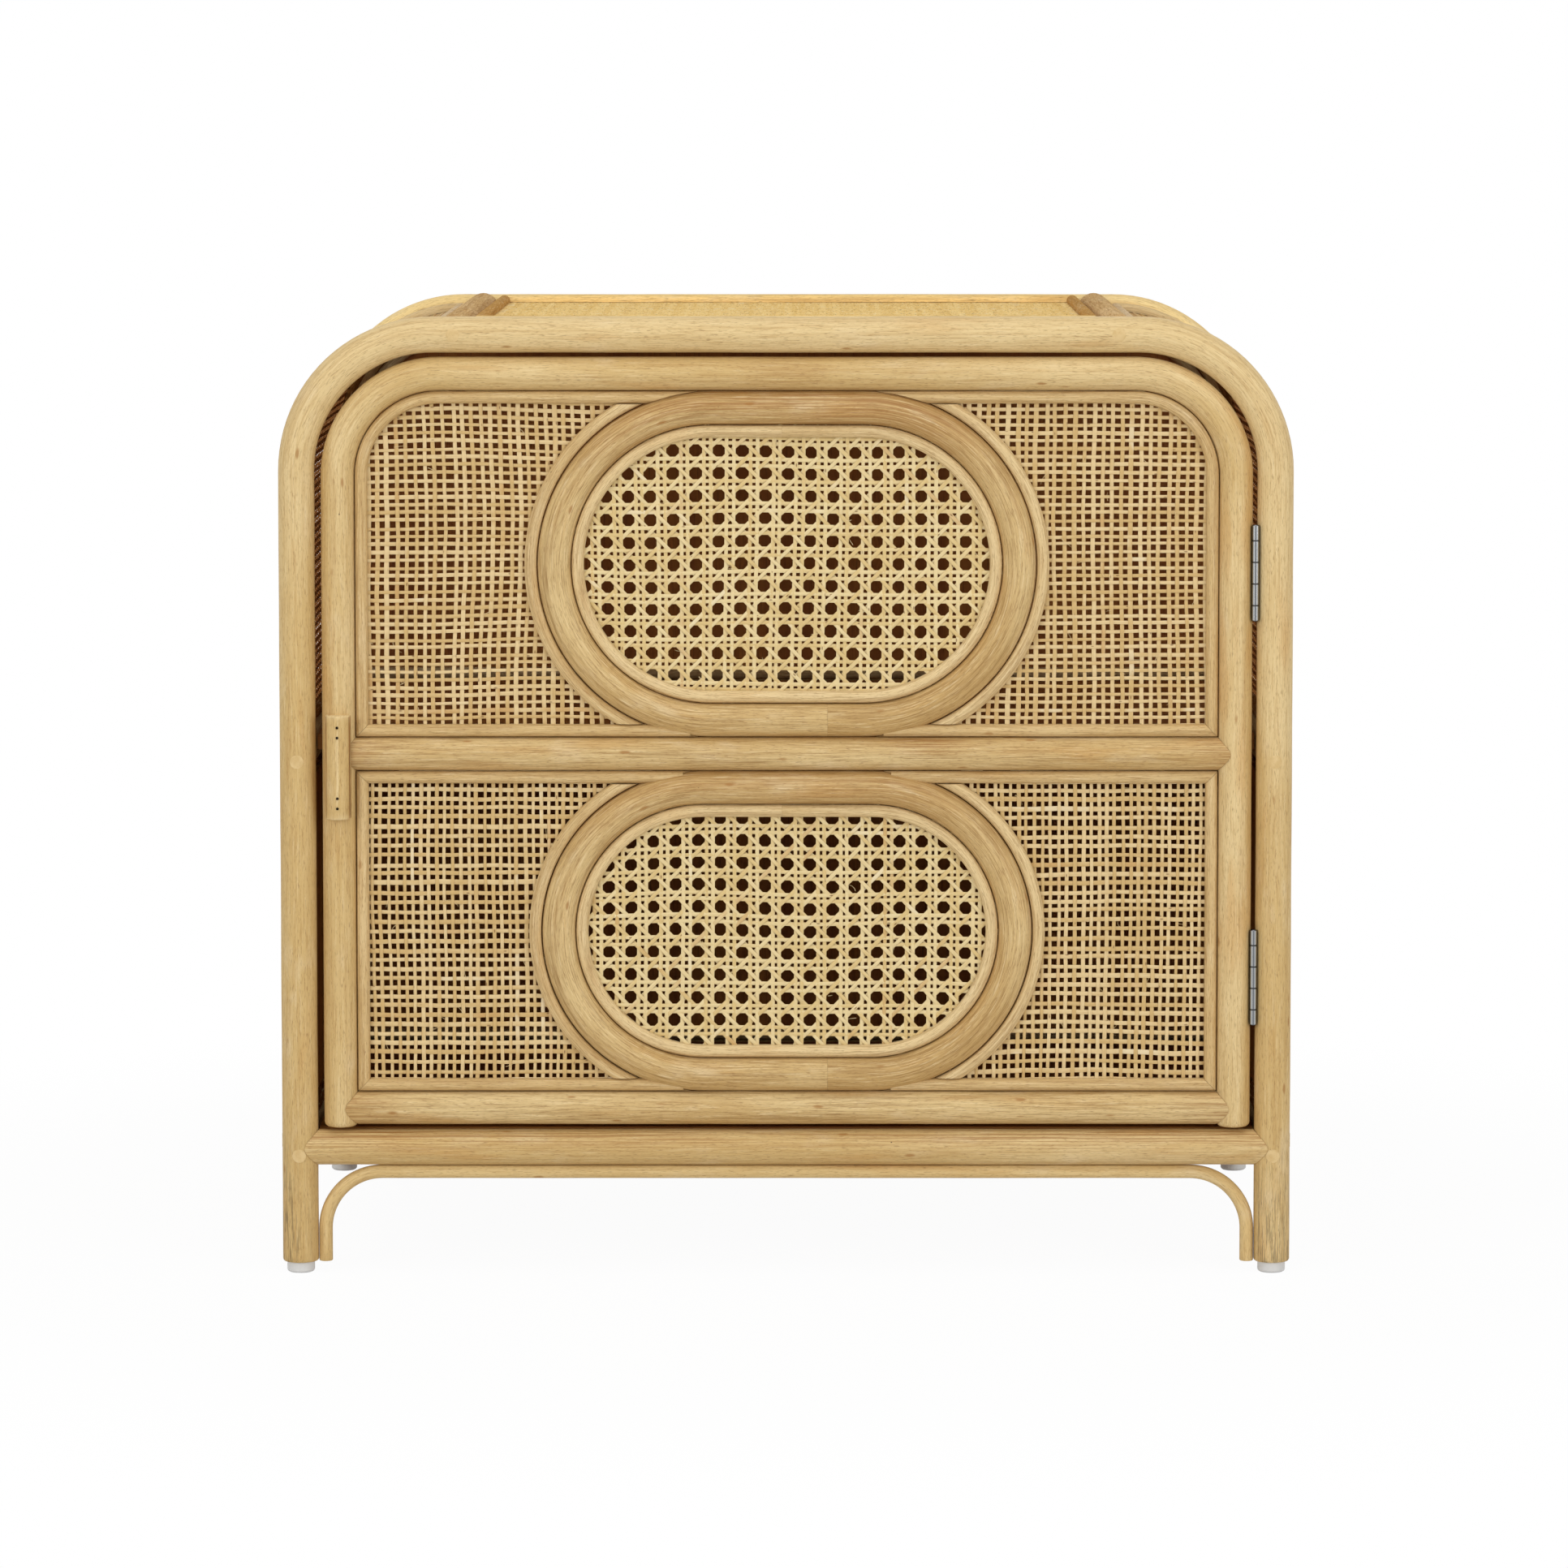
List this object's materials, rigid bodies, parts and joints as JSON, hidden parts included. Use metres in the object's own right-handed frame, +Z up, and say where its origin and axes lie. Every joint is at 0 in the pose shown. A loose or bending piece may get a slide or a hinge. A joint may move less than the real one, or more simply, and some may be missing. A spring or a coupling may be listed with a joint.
{
  "type": "storage side table with door",
  "caption": "Rattan side table with bent pole arches, a woven top and sides, and one hinged door that carries oval rings of octagonal cane, closing a shelved cabinet.",
  "frame": {"origin": "on the floor, at the middle of the overall box", "axes": "+X to the right as seen from the front, -Y towards the front and the door, +Z up"},
  "size_m": [0.6, 0.3874, 0.5705],
  "materials": {
    "rattan_pole": "clear satin lacquer",
    "ring_pole": "clear satin lacquer",
    "crossbar_pole": "clear satin lacquer",
    "brace_pole": "clear satin lacquer",
    "plywood": "satin",
    "split_rattan": "clear satin lacquer",
    "webbing": "clear satin lacquer",
    "cane": "natural gloss of the bark",
    "white_plastic": "matte",
    "brown_plastic": "matte",
    "magnet": "matte",
    "wood_filler": "matte",
    "steel": "zinc plated"
  },
  "bodies": {
    "cabinet": {"front_arch": "rattan_pole", "rear_arch": "rattan_pole", "front_bottom_rail": "rattan_pole", "rear_bottom_rail": "rattan_pole", "left_bottom_rail": "rattan_pole", "right_bottom_rail": "rattan_pole", "rear_mid_rail": "rattan_pole", "left_mid_rail": "rattan_pole", "right_mid_rail": "rattan_pole", "left_crossbar": "crossbar_pole", "right_crossbar": "crossbar_pole", "front_brace": "brace_pole", "rear_brace": "brace_pole", "left_brace": "brace_pole", "right_brace": "brace_pole", "top_board": "plywood", "shelf_board": "plywood", "floor_board": "plywood", "left_panel": "plywood", "right_panel": "plywood", "upper_back_panel": "plywood", "lower_back_panel": "plywood", "top_webbing": "webbing", "left_webbing": "webbing", "right_webbing": "webbing", "top_trims": "split_rattan", "left_side_trims": "split_rattan", "right_side_trims": "split_rattan", "back_trims": "split_rattan", "foot_glides": "white_plastic", "frame_screws": "steel", "frame_plugs": "wood_filler", "hinge_frame_leaves": "steel", "hinge_pins": "steel", "hinge_frame_screws": "steel", "catch_body": "brown_plastic", "catch_magnet": "magnet", "catch_screws": "steel"},
    "door": {"door_arch": "rattan_pole", "door_mid_rail": "rattan_pole", "door_bottom_rail": "rattan_pole", "upper_ring": "ring_pole", "lower_ring": "ring_pole", "upper_left_webbing": "webbing", "upper_right_webbing": "webbing", "lower_left_webbing": "webbing", "lower_right_webbing": "webbing", "upper_cane": "cane", "lower_cane": "cane", "upper_ring_trims": "split_rattan", "lower_ring_trims": "split_rattan", "upper_panel_trims": "split_rattan", "lower_panel_trims": "split_rattan", "pull_handle": "split_rattan", "handle_nails": "steel", "hinge_door_leaves": "steel", "hinge_door_screws": "steel", "strike_plate": "steel", "strike_screws": "steel"}
  },
  "joints": [
    {"name": "door_hinge", "type": "hinge", "parent": "cabinet", "child": "door", "pos_m": [0.2773, -0.18161, 0.29785], "axis": [0, 0, 1], "range_deg": [0, 115]}
  ]
}
